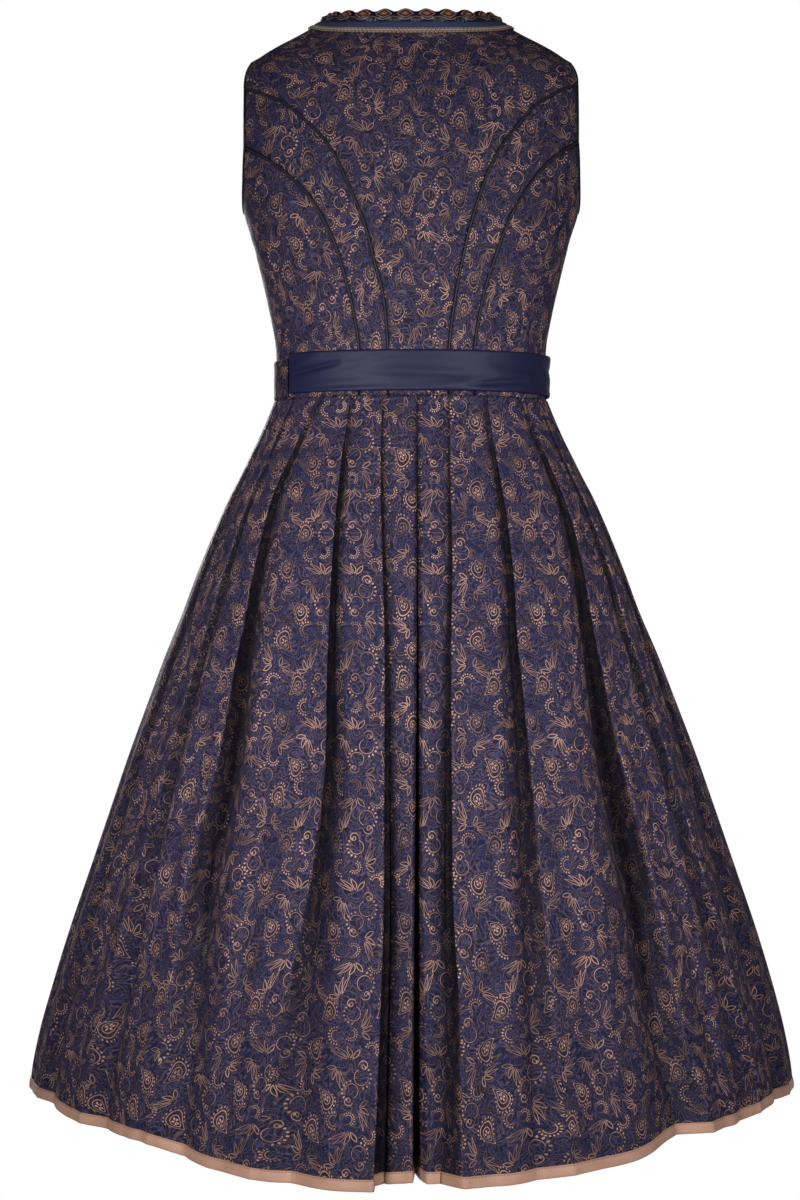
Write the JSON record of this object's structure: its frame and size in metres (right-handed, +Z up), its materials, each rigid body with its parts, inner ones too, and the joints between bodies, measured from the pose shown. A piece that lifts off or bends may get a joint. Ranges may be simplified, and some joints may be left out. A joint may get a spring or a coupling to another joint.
{
  "type": "dirndl",
  "caption": "Sleeveless dirndl with apron, filled out as worn: fitted seamed bodice, waist tie and bow, and a wide skirt laid in folds with a bound hem.",
  "frame": {"origin": "midway between the two shoulder straps, where the wearer's shoulders hold the dress", "axes": "+Z up, +Y towards the back of the dress, +X towards the wearer's left"},
  "size_m": [0.7635, 0.7027, 1.0977],
  "materials": {
    "jacquard": "navy satin jacquard with copper scroll and paisley lines",
    "satin": "dark navy satin",
    "copper_satin": "rose-copper satin",
    "blue_band": "blue diagonal weave",
    "braid": "beige chain braid",
    "apron_cloth": "navy satin with sparse copper figures",
    "button": "antique copper"
  },
  "bodies": {
    "root": {"bodice_back_centre": "jacquard", "bodice_back_inner_left": "jacquard", "bodice_back_inner_right": "jacquard", "bodice_back_outer_left": "jacquard", "bodice_back_outer_right": "jacquard", "bodice_front_centre_left": "jacquard", "bodice_front_centre_right": "jacquard", "bodice_front_side_left": "jacquard", "bodice_front_side_right": "jacquard", "piping_inner_left": "satin", "piping_inner_right": "satin", "piping_outer_left": "satin", "piping_outer_right": "satin", "piping_armhole_left": "satin", "piping_armhole_right": "satin", "neck_ruching": "satin", "neck_blue_band": "blue_band", "neck_chain_braid": "braid", "button_1": "button", "button_2": "button", "button_3": "button", "button_4": "button", "button_5": "button", "button_6": "button", "button_7": "button", "skirt_back_left": "jacquard", "skirt_front_left": "jacquard", "skirt_front_right": "jacquard", "skirt_back_right": "jacquard", "hem_binding": "copper_satin", "apron_panel": "apron_cloth", "apron_waistband": "apron_cloth", "waist_tie": "satin", "bow_knot": "satin", "bow_loop_left": "satin", "bow_loop_right": "satin", "bow_tail_left": "satin", "bow_tail_right": "satin"}
  },
  "joints": []
}
